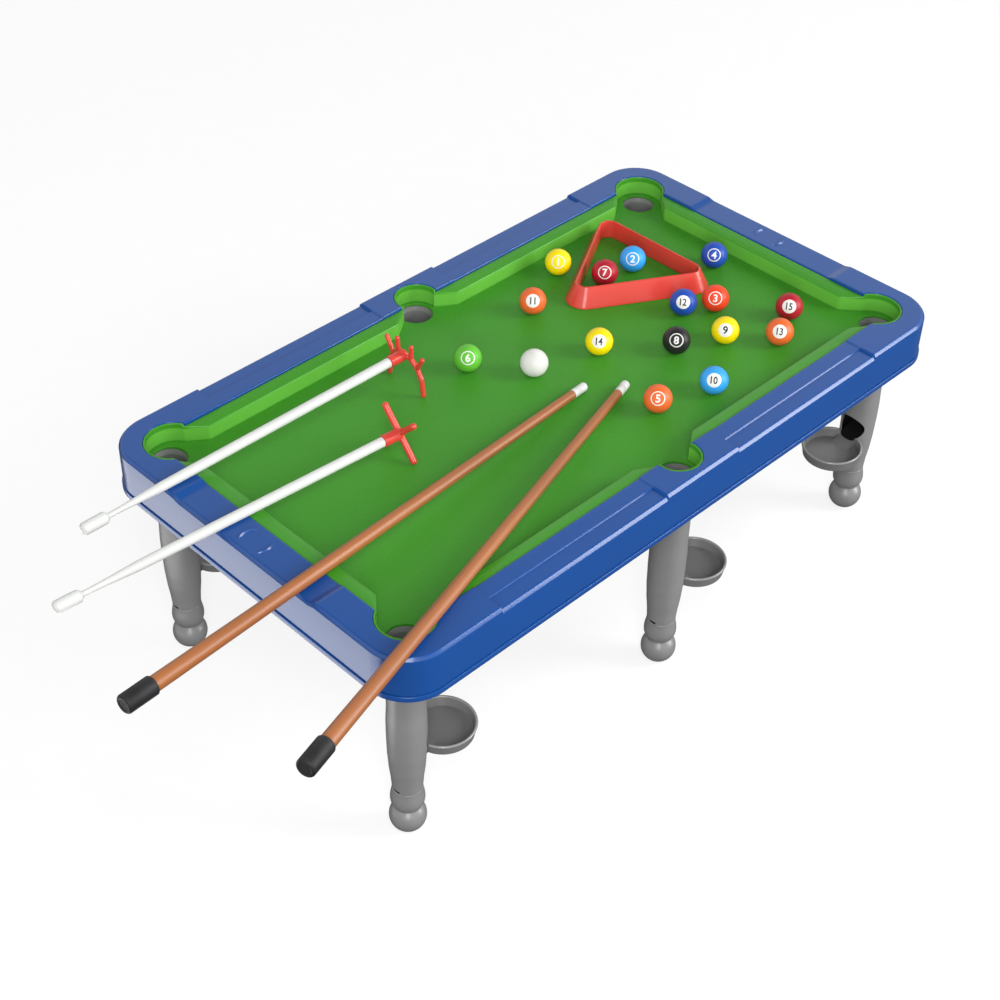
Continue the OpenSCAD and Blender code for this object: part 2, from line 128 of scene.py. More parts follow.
LEG_GREY, TRAY_GREY = (0.195, 0.195, 0.195), (0.15, 0.15, 0.15)
UNLIT = 0.04  # Painted shade: what is left of the colour inside a leg
WINDOW_SHADE_TOP_Z = 135.0  # Painted shade in a leg's bore reaches up to here
MARK_R, RING_W, MARK_EDGE, MARK_WHITE = 5.0, 0.75, 0.004, (0.68, 0.68, 0.65)

class Surface:
    """A node material round one Principled shader, with short calls to add and join nodes."""

    def __init__(self, name, roughness, **uniform):
        self.material = bpy.data.materials.new(name)
        self.material.use_nodes = True
        self.tree = self.material.node_tree
        self.shader = self.tree.nodes["Principled BSDF"]
        self.shader.inputs["Roughness"].default_value = roughness
        for socket, value in uniform.items():
            self.shader.inputs[socket.replace("_", " ")].default_value = value
        self.place = self.add("ShaderNodeTexCoord").outputs["Object"]

    def add(self, kind, inputs=None, **settings):
        node = self.tree.nodes.new(kind)
        for key, value in settings.items():
            setattr(node, key, value)
        for socket, value in (inputs or {}).items():
            if isinstance(value, bpy.types.NodeSocket):
                self.tree.links.new(value, node.inputs[socket])
            else:
                node.inputs[socket].default_value = value
        return node

    def noise(self, scale, detail=3.0, vector=None):
        inputs = {"Vector": vector or self.place, "Scale": scale, "Detail": detail}
        return self.add("ShaderNodeTexNoise", inputs).outputs["Fac"]

    def height(self):
        """Height over the floor, for a piece whose own axes are the row frame's."""
        return self.add("ShaderNodeSeparateXYZ", {"Vector": self.place}).outputs["Z"]

    def maths(self, operation, first, second):
        return self.add("ShaderNodeMath", {0: first, 1: second}, operation=operation).outputs["Value"]

    def vector(self, operation, *inputs):
        node = self.add("ShaderNodeVectorMath", dict(enumerate(inputs)), operation=operation)
        return node.outputs["Value" if operation in ("LENGTH", "DOT_PRODUCT") else "Vector"]

    def remap(self, value, low, high, to_low, to_high):
        inputs = {"Value": value, "From Min": low, "From Max": high, "To Min": to_low, "To Max": to_high}
        return self.add("ShaderNodeMapRange", inputs).outputs["Result"]

    def mix(self, factor, first, second):
        inputs = {0: factor}
        for socket, colour in ((6, first), (7, second)):
            inputs[socket] = colour if isinstance(colour, bpy.types.NodeSocket) else (*colour, 1.0)
        return self.add("ShaderNodeMix", inputs, data_type="RGBA").outputs[2]

    def blend(self, noise, first, second, low=0.3, high=0.7, most=1.0):
        """From the first colour to the second, up to `most` of it, as the noise goes from low to high."""
        return self.mix(self.remap(noise, low, high, 0.0, most), first, second)

    def finished(self, colour, roughness, relief=None, distance=0.0):
        """The material, with these outputs for its colour and roughness and for a relief in metres."""
        ends = {"Base Color": colour, "Roughness": roughness}
        if relief:
            bump = {"Height": relief, "Distance": distance, "Strength": 1.0}
            ends["Normal"] = self.add("ShaderNodeBump", bump).outputs["Normal"]
        for socket, output in ends.items():
            self.tree.links.new(output, self.shader.inputs[socket])
        return self.material


def shade(colour, factor):
    return tuple(min(1.0, part * factor) for part in colour)


def moulded_plastic(
    name, colour, roughness, uneven=0.05, grain=0.000008, mottle=0.05, hollow=None, **uniform
):
    """Injection-moulded plastic: faint flow mottling, uneven polish, and a very fine skin texture.

    `hollow` is a point on an upright axis, in the piece's own metres, and the spaces round it that get
    painted shade: each is the radius and the lowest and highest point in millimetres, and how far below the
    top it starts to fade.
    """
    surface = Surface(name, roughness, **uniform)
    colours = surface.blend(surface.noise(14.0, 4.0), shade(colour, 1 - mottle), shade(colour, 1 + mottle))
    if hollow:
        axis, spaces = hollow
        flat = surface.vector("MULTIPLY", surface.vector("SUBTRACT", surface.place, axis), (1, 1, 0))
        reach, height = surface.vector("LENGTH", flat), surface.height()
        # Painted shade: inside each space the colour is darkened to a small share of itself
        for radius, low, high, fade in spaces:
            inside = surface.remap(reach, radius * MM, (radius + 0.3) * MM, 1.0, 0.0)
            above = surface.remap(height, low * MM, (low + 0.2) * MM, 0.0, 1.0)
            below = surface.remap(height, (high - fade) * MM, high * MM, 1.0, 0.0)
            dark = surface.maths("MULTIPLY", inside, surface.maths("MULTIPLY", above, below))
            colours = surface.mix(dark, colours, shade(colour, UNLIT))
    polish = surface.remap(surface.noise(160.0, 5.0), 0.25, 0.75, roughness - uneven, roughness + uneven)
    return surface.finished(colours, polish, surface.noise(1500.0, 2.0), grain)


def felt_look_plastic(name, colour, lit_side_colour):
    """The green bed: etched, cloudy plastic, polished on the cushions' tops, with painted light on their
    upright sides, which get a lighter green than the bed.
    """
    surface = Surface(name, 0.5, Specular_IOR_Level=0.27)
    height = surface.height()
    # Painted light: from just above the bed's floor to just under the cushion top, the upright sides get the
    # second, lighter green, standing in for light falling on them
    foot = surface.remap(height, (BED_Z + 0.2) * MM, (BED_Z + 1.4) * MM, 0.0, 1.0)
    nose = surface.remap(height, (NOSE_TOP_Z - 1.4) * MM, (NOSE_TOP_Z - 0.3) * MM, 1.0, 0.0)
    etch = surface.noise(700.0, 3.0)
    cloudy = surface.blend(surface.noise(9.0, 5.0), shade(colour, 0.94), shade(colour, 1.06))
    flecked = surface.blend(etch, cloudy, shade(colour, 0.8), 0.45, 0.75, 0.35)
    colours = surface.mix(surface.maths("MULTIPLY", foot, nose), flecked, lit_side_colour)
    etched = surface.remap(etch, 0.3, 0.7, 0.46, 0.56)
    polish = surface.remap(height, (NOSE_TOP_Z - 3.0) * MM, NOSE_TOP_Z * MM, 0.0, 0.2)
    return surface.finished(colours, surface.maths("SUBTRACT", etched, polish), etch, 0.00002)


def printed_wood(name, light, dark):
    """Copper-brown film with a fine grain printed along the cue, which runs along the piece's own Z."""
    surface = Surface(name, 0.42)

    def stretched(across, along, detail):
        scale = {"Vector": surface.place, "Scale": (across, across, along)}
        return surface.noise(1.0, detail, surface.add("ShaderNodeMapping", scale).outputs["Vector"])

    fibre, band = stretched(420.0, 9.0, 6.0), stretched(120.0, 4.0, 3.0)
    tone = surface.blend(band, shade(light, 0.82), light, 0.35, 0.65)
    tone = surface.blend(fibre, tone, dark, 0.5, 0.72, 0.75)
    return surface.finished(tone, surface.remap(fibre, 0.3, 0.7, 0.36, 0.48), fibre, 0.00001)


def moulded_rubber(name, colour):
    """Matt rubber with fine grit and lighter worn patches."""
    surface = Surface(name, 0.55, Specular_IOR_Level=0.3)
    worn = surface.blend(surface.noise(90.0, 4.0), colour, shade(colour, 2.2), 0.4, 0.75)
    grit = surface.noise(2200.0, 2.0)
    return surface.finished(worn, surface.remap(grit, 0.3, 0.7, 0.45, 0.65), grit, 0.00006)


def zinc_steel(name):
    surface = Surface(name, 0.35, Metallic=1.0)
    brushed = surface.noise(600.0, 3.0)
    colours = surface.mix(brushed, (0.45, 0.45, 0.46), (0.66, 0.66, 0.68))
    return surface.finished(colours, surface.remap(brushed, 0.3, 0.7, 0.28, 0.45))


def numbered_ball(name, colour, centre, facing=None, ring=False):
    """Polished ball with a white printed mark round `facing`: a thin ring, or a filled disc."""
    surface = Surface(name, 0.42, Specular_IOR_Level=0.3)
    body = surface.blend(surface.noise(60.0, 3.0), shade(colour, 0.93), shade(colour, 1.07))
    if facing is not None:
        outward = surface.vector("NORMALIZE", surface.vector("SUBTRACT", surface.place, centre))
        cosine = surface.vector("DOT_PRODUCT", outward, facing)
        outer = math.cos(math.asin(MARK_R / BALL_R))
        mark = surface.remap(cosine, outer - MARK_EDGE, outer + MARK_EDGE, 0.0, 1.0)
        if ring:
            inner = math.cos(math.asin((MARK_R - RING_W) / BALL_R))
            hole = surface.remap(cosine, inner - MARK_EDGE, inner + MARK_EDGE, 1.0, 0.0)
            mark = surface.maths("MULTIPLY", mark, hole)
        body = surface.mix(mark, body, MARK_WHITE)
    return surface.finished(body, surface.remap(surface.noise(240.0, 4.0), 0.35, 0.75, 0.38, 0.5))


BLUE = moulded_plastic("blue_gloss", (0.006, 0.057, 0.24), 0.24, 0.008, 0.000001, 0.02)
# The second colour is painted light: a lighter green for the cushions' upright sides of the same moulding
GREEN = felt_look_plastic("green_satin", (0.043, 0.24, 0.016), (0.105, 0.385, 0.04))
# Painted shade on the foot's top inside the leg's cavity, seen through the leg's notch
FOOT_PAINTED_SHADE = ((0, 0, 0), ((CAVITY_R + 1.2, FOOT_TOP_Z - 0.25, FOOT_TOP_Z + 1, 0.2),))
FOOT_GREY = moulded_plastic("foot_grey", (0.18, 0.18, 0.18), 0.34, hollow=FOOT_PAINTED_SHADE)
# Painted highlight: the tray's rim bead is the tray's own plastic in a lighter grey than the tray itself
RIM_HIGHLIGHT_GREY = moulded_plastic("tray_rim_highlight_grey", (0.22, 0.22, 0.22), 0.25, 0.04, 0.000004)
RED = moulded_plastic("red_gloss", (0.56, 0.046, 0.032), 0.24, 0.04, 0.000004)
WHITE = moulded_plastic("white_gloss", (0.56, 0.57, 0.55), 0.32, 0.06, 0.000004, 0.02)
CUE_WOOD = printed_wood("cue_copper", (0.34, 0.115, 0.032), (0.17, 0.05, 0.014))
RUBBER = moulded_rubber("butt_rubber", (0.008, 0.008, 0.009))
STEEL = zinc_steel("screw_zinc")

# ---- mesh helpers


def linked(name, data):
    """A new object round the data, in the scene."""
    made = bpy.data.objects.new(name, data)
    bpy.context.scene.collection.objects.link(made)
    return made


def baked(bm, name):
    """The bmesh as a mesh; the bmesh is freed."""
    mesh = bpy.data.meshes.new(name)
    bm.to_mesh(mesh)
    bm.free()
    return mesh


def frozen(thing):
    """The mesh that an object shows; the object is removed."""
    mesh = bpy.data.meshes.new_from_object(thing.evaluated_get(bpy.context.evaluated_depsgraph_get()))
    bpy.data.objects.remove(thing)
    return mesh


def finish_mesh(bm, name, *place, **looks):
    """Turns a bmesh into a piece with tidy normals. What follows the name is as for place_mesh."""
    bmesh.ops.remove_doubles(bm, verts=bm.verts, dist=1e-7)
    bmesh.ops.recalc_face_normals(bm, faces=bm.faces)
    return place_mesh(baked(bm, name), name, *place, **looks)


def place_mesh(mesh, name, material, body, stands_for=(), slot=None, matrix=None, crease=35.0):
    """A smooth piece with crisp edges above `crease` degrees, which rides on a CAD body."""
    mesh.shade_smooth()
    mesh.set_sharp_from_angle(angle=math.radians(crease))
    mesh.materials.clear()
    mesh.materials.append(material)
    piece = linked(name, mesh)
    if matrix is not None:
        piece.matrix_world = matrix
    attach(piece, body)
    if stands_for:
        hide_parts(*stands_for)
    return piece


def loft(sections, close_path=True):
    """Quads between successive closed profiles; each section is a list of points in metres."""
    bm = bmesh.new()
    rows = [[bm.verts.new(point) for point in section] for section in sections]
    count = len(rows[0])
    last = len(rows) if close_path else len(rows) - 1
    for i in range(last):
        a, b = rows[i], rows[(i + 1) % len(rows)]
        for j in range(count):
            k = (j + 1) % count
            bm.faces.new((a[j], a[k], b[k], b[j]))
    if not close_path:
        bm.faces.new(rows[0])
        bm.faces.new(reversed(rows[-1]))
    return bm


def lathe(profile, segments=96):
    """Turns a profile of (radius, height) in millimetres round Z. Points on the axis become poles."""
    bm = bmesh.new()
    rings = []
    for radius, height in profile:
        turns = [math.tau * k / segments for k in range(segments if radius > 1e-6 else 1)]
        rings.append([
            bm.verts.new((radius * MM * math.cos(a), radius * MM * math.sin(a), height * MM)) for a in turns
        ])
    for a, b in zip(rings, rings[1:] + (rings[:1] if len(rings[0]) > 1 else [])):
        for k in range(segments):
            n = (k + 1) % segments
            corners = [a[k % len(a)], a[n % len(a)], b[n % len(b)], b[k % len(b)]]
            unique = list(dict.fromkeys(corners))
            if len(unique) > 2:
                bm.faces.new(unique)
    return bm


def smooth_curve(keys, steps=6):
    """Catmull-Rom curve through (r, z) keys."""
    points = [keys[0], *keys, keys[-1]]
    made = []
    for four in zip(points, points[1:], points[2:], points[3:]):
        for k in range(steps):
            t = k / steps
            made.append(tuple(
                0.5 * (2 * b + (c - a) * t + (2 * a - 5 * b + 4 * c - d) * t**2
                       + (3 * b - a - 3 * c + d) * t**3)
                for a, b, c, d in zip(*four)
            ))
    return made + [keys[-1]]


def ramp(low, high, value):
    return min(1.0, max(0.0, (value - low) / (high - low)))


def ease(low, high, value):
    t = ramp(low, high, value)
    return t * t * (3 - 2 * t)


def spread(low, high, steps):
    return [low + (high - low) * k / steps for k in range(steps + 1)]


def all_quarters(quarter):
    """A list of rungs for +X +Y, from the X axis to the Y axis, continued round the other quarters."""
    def flip(rungs, sx, sy):
        return [tuple((sx * x, sy * y) for x, y in rung) for rung in rungs]

    path = list(quarter)
    path += flip(reversed(quarter[:-1]), -1, 1)
    path += flip(quarter[1:], -1, -1)
    path += flip(reversed(quarter[1:-1]), 1, -1)
    return path


def on_circle(centre, radius, degrees):
    turn = math.radians(degrees)
    return centre[0] + radius * math.cos(turn), centre[1] + radius * math.sin(turn)


def around(centre, radius, start, end, steps):
    """Points of an arc, its angles in degrees from the first axis towards the second."""
    return [on_circle(centre, radius, angle) for angle in spread(start, end, steps)]


def half_chord(radius, offset):
    """Half of the chord of a circle that passes `offset` from its centre."""
    return math.sqrt(radius**2 - offset**2)


def bearing(centre, point):
    return math.degrees(math.atan2(point[1] - centre[1], point[0] - centre[0]))


def between(a, b, t):
    return a[0] + (b[0] - a[0]) * t, a[1] + (b[1] - a[1]) * t


def unit(a, b):
    length = math.dist(a, b)
    return (b[0] - a[0]) / length, (b[1] - a[1]) / length


def mitre(a, b):
    """The way a corner moves when both of its edges, with these unit normals, move by one."""
    both = (a[0] + b[0], a[1] + b[1])
    square = both[0] ** 2 + both[1] ** 2
    return 2 * both[0] / square, 2 * both[1] / square


def stations(*ranges):
    """Numbers along an edge: each range is (from, to, spacing), and shared ends appear once."""
    made = []
    for start, end, spacing in ranges:
        steps = max(1, round(abs(end - start) / spacing))
        made += [start + (end - start) * k / steps for k in range(steps + 1)]
    return [value for k, value in enumerate(made) if k == 0 or abs(value - made[k - 1]) > 1e-9]


# ---- blue frame

OPENING_X, OPENING_Y = GREEN_X + FIT, GREEN_Y + FIT
OUT_X, OUT_Y = LENGTH / 2, WIDTH / 2
SIDE_INNER_Z, SIDE_OUTER_Z, END_RAIL_Z = 186.1, 185.0, 185.5
STEP_RUN = 0.25
OUTER_EDGE, INNER_ROUND, LIP_ROUND, LIP_GROOVE = 2.6, 0.6, 0.35, 0.7
BOSSES = [
    (sx * x, sy * y) for x, y in ((180, 131), (60, 131), (248.5, 50)) for sx in (-1, 1) for sy in (-1, 1)
]
BOSS_PROFILE = [(1.4, 176.3), (3.9, 176.3), (4.0, 176.6), (4.0, PLATE_UNDER + 0.2), (1.4, PLATE_UNDER + 0.2)]
EMBLEM_X, EMBLEM_Y, EMBLEM_R, EMBLEM_SWEEP, EMBLEM_W, EMBLEM_H = 253.0, 11.0, 11.0, 42.0, 1.1, 1.3

# How far across the flat top a section has its points, with more of them at the step
TOP_SPAN = OUT_Y - OPENING_Y - INNER_ROUND - OUTER_EDGE
STEP_AT = (STEP_Y - OPENING_Y - INNER_ROUND) / TOP_SPAN
STEP_OFFSETS = (-1.0, -STEP_RUN - 0.08, -STEP_RUN, 0, STEP_RUN, STEP_RUN + 0.08, 1.0)
TOP_FRACTIONS = [0.04, 0.13, 0.26, 0.36] + [STEP_AT + offset / TOP_SPAN for offset in STEP_OFFSETS]
TOP_FRACTIONS += [0.64, 0.76, 0.88, 0.96]


def outer_rim(sweep):
    """Point and outward normal on the quarter outline, at a length along it from the X axis."""
    straight = OUT_Y - CORNER_R
    bend = CORNER_R * math.pi / 2
    if sweep <= straight:
        return (OUT_X, sweep), (1.0, 0.0)
    if sweep >= straight + bend:
        return (OUT_X - CORNER_R - (sweep - straight - bend), OUT_Y), (0.0, 1.0)
    angle = (sweep - straight) / CORNER_R
    normal = (math.cos(angle), math.sin(angle))
    return (OUT_X - CORNER_R + CORNER_R * normal[0], straight + CORNER_R * normal[1]), normal


def frame_rungs():
    """Rungs across the top plate of one quarter: inner point, its normal, outer point, its normal."""
    pocket_r, middle_r = CORNER_POCKET_R + RIM + FIT, MIDDLE_POCKET_R + RIM + FIT
    end_stop = CORNER_POCKET[1] - half_chord(pocket_r, OPENING_X - CORNER_POCKET[0])
    side_stop = CORNER_POCKET[0] - half_chord(pocket_r, OPENING_Y - CORNER_POCKET[1])
    middle_stop = half_chord(middle_r, OPENING_Y - MIDDLE_POCKET[1])
    run = stations((0, 56, 7), (56, CORNER_CAP_Y + 1, 0.75), (CORNER_CAP_Y + 1, end_stop, 5))
    rungs = [((OPENING_X, y), (1, 0), (OUT_X, y), (1, 0)) for y in run[:-1]]
    start = bearing(CORNER_POCKET, (OPENING_X, end_stop))
    end = bearing(CORNER_POCKET, (side_stop, OPENING_Y))
    total = OUT_Y - CORNER_R - end_stop + CORNER_R * math.pi / 2 + OUT_X - CORNER_R - side_stop
    steps = 56
    for k, inner in enumerate(around(CORNER_POCKET, pocket_r, start, end, steps)):
        normal = unit(CORNER_POCKET, inner)
        if k in (0, steps):
            normal = mitre(normal, (1, 0) if k == 0 else (0, 1))
        rungs.append((inner, normal, *outer_rim(end_stop + total * k / steps)))
    run = stations(
        (side_stop, CORNER_CAP_X + 1, 6), (CORNER_CAP_X + 1, CORNER_CAP_X - 2, 0.25),
        (CORNER_CAP_X - 2, MIDDLE_CAP_X + 2, 9), (MIDDLE_CAP_X + 2, MIDDLE_CAP_X - 1, 0.25),
        (MIDDLE_CAP_X - 1, middle_stop, 5),
    )
    rungs += [((x, OPENING_Y), (0, 1), (x, OUT_Y), (0, 1)) for x in run[1:-1]]
    start = bearing(MIDDLE_POCKET, (middle_stop, OPENING_Y))
    steps = 22
    for k, inner in enumerate(around(MIDDLE_POCKET, middle_r, start, 90, steps)):
        normal = unit(MIDDLE_POCKET, inner)
        if k == 0:
            normal = mitre(normal, (0, 1))
        rungs.append((inner, normal, (middle_stop * (1 - k / steps), OUT_Y), (0, 1)))
    return rungs


def frame_top(x, y):
    """Height of the plate's top: caps over the pockets, lower side rails in two strips, low end rails."""
    x, y = abs(x), abs(y)
    if y > OPENING_Y - 1 and x < OUT_X - 20:
        inner = 1 - ramp(STEP_Y - STEP_RUN, STEP_Y + STEP_RUN, y)
        strip = SIDE_OUTER_Z + (SIDE_INNER_Z - SIDE_OUTER_Z) * inner
        rail = ease(MIDDLE_CAP_X, MIDDLE_CAP_X + 0.6, x) * (1 - ease(CORNER_CAP_X - 0.6, CORNER_CAP_X, x))
        return TOP + (strip - TOP) * rail
    if y < CORNER_CAP_Y + 2:
        return TOP + (END_RAIL_Z - TOP) * (1 - ease(CORNER_CAP_Y - 7, CORNER_CAP_Y, y))
    return TOP


def soft_chamfer(size):
    """(out, down) from the top over a 50 degree chamfer with rounded shoulders, to `size` out."""
    tilts = (0, 10, 20, 30, 40, 46, 48, 50, 52, 54, 60, 70, 80, 90)
    path = [(0.0, 0.0)]
    for low, high in zip(tilts, tilts[1:]):
        radius = 9.0 if 46 <= low < 54 else 1.0
        a, b = math.radians(low), math.radians(high)
        out, down = path[-1]
        path.append((out + radius * (math.sin(b) - math.sin(a)), down + radius * (math.cos(a) - math.cos(b))))
    scale = size / path[-1][0]
    return [(out * scale, down * scale) for out, down in path]


def frame_section(inner, inward, outer, outward):
    """Closed profile across the frame, from the opening's lower edge over the top and round the skirt."""
    def at(base, normal, distance, z):
        return row_point(base[0] + normal[0] * distance, base[1] + normal[1] * distance, z)

    section = [at(inner, inward, 0, PLATE_UNDER)]
    rounding = around((INNER_ROUND, frame_top(*inner) - INNER_ROUND), INNER_ROUND, 180, 90, 4)
    section += [at(inner, inward, distance, z) for distance, z in rounding]
    near = (inner[0] + inward[0] * INNER_ROUND, inner[1] + inward[1] * INNER_ROUND)
    far = (outer[0] - outward[0] * OUTER_EDGE, outer[1] - outward[1] * OUTER_EDGE)
    for x, y in (between(near, far, t) for t in TOP_FRACTIONS):
        section.append(row_point(x, y, frame_top(x, y)))
    top_out = frame_top(*far)
    section += [at(far, outward, out, top_out - down) for out, down in soft_chamfer(OUTER_EDGE)]
    groove = ((0, LIP_TOP + 1.1), (-LIP_GROOVE, LIP_TOP + 0.75), (-LIP_GROOVE, LIP_TOP + 0.1), (0.5, LIP_TOP))
    lip = LIP_OUT - LIP_ROUND
    skirt = [(0, 170), *groove, *around((lip, LIP_TOP - LIP_ROUND), LIP_ROUND, 90, 0, 4)]
    skirt += around((lip, SKIRT_BOTTOM + LIP_ROUND), LIP_ROUND, 0, -90, 4)
    skirt += [(-SKIRT_WALL + 0.3, SKIRT_BOTTOM), (-SKIRT_WALL, SKIRT_BOTTOM + 0.3)]
    skirt.append((-SKIRT_WALL, PLATE_UNDER))
    return section + [at(outer, outward, out, z) for out, z in skirt]


def make_frame():
    rungs = all_quarters(frame_rungs())
    bm = loft([frame_section(*rung) for rung in rungs])
    finish_mesh(bm, "frame_shell", BLUE, "table", ["frame"], "blue_plastic", crease=40)
    bosses = bmesh.new()
    for x, y in BOSSES:
        boss = lathe(BOSS_PROFILE, 40)
        bmesh.ops.translate(boss, vec=row_point(x, y, 0), verts=boss.verts)
        append(bosses, boss)
    finish_mesh(bosses, "frame_bosses", BLUE, "table", (), "blue_plastic")
    emblem = bmesh.new()
    for side, bow in ((-1, -1), (-1, 1), (1, -1), (1, 1)):
        append(emblem, crescent(side * EMBLEM_X, bow))
    finish_mesh(emblem, "frame_end_arcs", BLUE, "table", (), "blue_plastic", crease=60)


def append(target, part):
    """Moves the part's mesh into the target."""
    mesh = baked(part, "part")
    target.from_mesh(mesh)
    bpy.data.meshes.remove(mesh)


def crescent(x, side):
    """A raised arc on an end rail, one of a facing pair: steep outside, easing down towards its partner."""
    outside = [(EMBLEM_H * (1 - 0.9 * h), EMBLEM_H * h) for h in (0.0, 0.3, 0.6, 0.85, 0.97)]
    inside = [(-EMBLEM_W * w, EMBLEM_H * (1 - w) ** 1.5) for w in (0.0, 0.1, 0.25, 0.45, 0.7, 1.0)]
    profile = [(EMBLEM_H, -0.5), *outside, *inside, (-EMBLEM_W, -0.5)]
    sections = []
    for t in spread(-1, 1, 40):
        turn = math.radians(EMBLEM_SWEEP) * t
        rise = EMBLEM_Y - EMBLEM_R * (1 - math.cos(turn))
        middle = Vector((x + EMBLEM_R * math.sin(turn), side * rise))
        out = Vector((math.sin(turn), side * math.cos(turn)))
        taper = max(0.04, 1 - t * t)
        spots = [(middle + out * reach * taper, height * taper) for reach, height in profile]
        sections.append([row_point(spot.x, spot.y, END_RAIL_Z - 0.03 + height) for spot, height in spots])
    return loft(sections, close_path=False)


# ---- green bed

FLANGE_X, FLANGE_Y, FLANGE_R, FLANGE_TOP, FLANGE_UNDER = 255.0, 138.0, 24.0, 176.0, 174.0
NOSE_ROUND, JAW_R, HOLLOW_WALL, HOLLOW_TOP = 1.4, 4.0, 2.0, 182.0
HOLE_STEPS = 96


def rounded_corner(before, corner, after, radius, steps=6):
    """Points of a fillet at `corner` between the two edges."""
    u, v = unit(corner, before), unit(corner, after)
    half = math.acos(max(-1, min(1, u[0] * v[0] + u[1] * v[1]))) / 2
    reach, away = radius / math.tan(half), radius / math.sin(half)
    bisector = unit((0, 0), (u[0] + v[0], u[1] + v[1]))
    centre = (corner[0] + bisector[0] * away, corner[1] + bisector[1] * away)
    first, last = (bearing(centre, (corner[0] + w[0] * reach, corner[1] + w[1] * reach)) for w in (u, v))
    turn = (last - first + 180) % 360 - 180
    return around(centre, radius, first, first + turn, steps)


def flange_point(outer):
    """The flange's edge beyond a point of the green boundary, on a rounded rectangle."""
    x, y = outer
    centre = (FLANGE_X - FLANGE_R, FLANGE_Y - FLANGE_R)
    if x > centre[0] and y > centre[1]:
        return on_circle(centre, FLANGE_R, bearing(centre, outer))
    return (FLANGE_X, y) if FLANGE_X - x < FLANGE_Y - y else (x, FLANGE_Y)


def mouths(radius):
    """Where a circle round the corner pocket meets the green boundary, at the end and at the side."""
    end = (GREEN_X, CORNER_POCKET[1] - half_chord(radius, GREEN_X - CORNER_POCKET[0]))
    return end, (CORNER_POCKET[0] - half_chord(radius, GREEN_Y - CORNER_POCKET[1]), GREEN_Y)


def bed_rungs():
    """Rungs of one quarter: foot of the cushion, green boundary, flange edge, and how much rim there is.

    The rim's share is in a pair, because all_quarters turns each part of a rung as a point.
    """
    rungs = []

    def add(foot, edge, flange, rim=0.0):
        rungs.append((foot, edge, flange, (rim, 0.0)))

    def straight(feet, low, high, at_end=False):
        """Rungs from the feet to a straight part of the boundary, which runs from low to high."""
        for foot, run in zip(feet, spread(low, high, len(feet) - 1)):
            if at_end:
                add(foot, (GREEN_X, run), (FLANGE_X, run))
            else:
                add(foot, (run, GREEN_Y), (run, FLANGE_Y))

    wall_r = CORNER_POCKET_R + RIM
    (mouth, side_mouth), (wall_end, wall_side) = mouths(CORNER_POCKET_R), mouths(wall_r)
    fillet = rounded_corner((NOSE_X, 0), (NOSE_X, END_NOSE_Y), mouth, JAW_R)
    for y in stations((0, fillet[0][1], 12))[:-1]:
        add((NOSE_X, y), (GREEN_X, y), (FLANGE_X, y))
    feet = fillet + [between(fillet[-1], mouth, k / 8) for k in range(1, 9)]
    straight(feet, fillet[0][1], wall_end[1], at_end=True)
    start, end = bearing(CORNER_POCKET, mouth), bearing(CORNER_POCKET, side_mouth)
    outer_start, outer_end = bearing(CORNER_POCKET, wall_end), bearing(CORNER_POCKET, wall_side)
    for t in [0.006, 0.012, 0.018, 0.03] + spread(0.05, 0.95, 60) + [0.97, 0.982, 0.988, 0.994]:
        foot = on_circle(CORNER_POCKET, CORNER_POCKET_R, start + (end - start) * t)
        edge = on_circle(CORNER_POCKET, wall_r, outer_start + (outer_end - outer_start) * t)
        add(foot, edge, flange_point(edge), ease(0.0, 0.02, t) * (1 - ease(0.98, 1.0, t)))
    fillet = rounded_corner(side_mouth, (SIDE_NOSE_X, NOSE_Y), (0, NOSE_Y), JAW_R)
    straight([between(side_mouth, fillet[0], k / 8) for k in range(8)] + fillet, wall_side[0], fillet[-1][0])
    wall_r = MIDDLE_POCKET_R + RIM
    mouth = (half_chord(MIDDLE_POCKET_R, GREEN_Y - MIDDLE_POCKET[1]), GREEN_Y)
    wall = (half_chord(wall_r, GREEN_Y - MIDDLE_POCKET[1]), GREEN_Y)
    after = rounded_corner((SIDE_NOSE_X, NOSE_Y), (MIDDLE_NOSE_X, NOSE_Y), mouth, JAW_R)
    for x in stations((fillet[-1][0], after[0][0], 14))[1:-1]:
        add((x, NOSE_Y), (x, GREEN_Y), (x, FLANGE_Y))
    straight(after + [between(after[-1], mouth, k / 8) for k in range(1, 9)], after[0][0], wall[0])
    start, outer_start = bearing(MIDDLE_POCKET, mouth), bearing(MIDDLE_POCKET, wall)
    for t in [0.01, 0.02, 0.03] + spread(0.06, 1, 26):
        foot = on_circle(MIDDLE_POCKET, MIDDLE_POCKET_R, start + (90 - start) * t)
        edge = on_circle(MIDDLE_POCKET, wall_r, outer_start + (90 - outer_start) * t)
        add(foot, edge, (edge[0], max(FLANGE_Y, edge[1] + 0.4)), ease(0.0, 0.035, t))
    return rungs


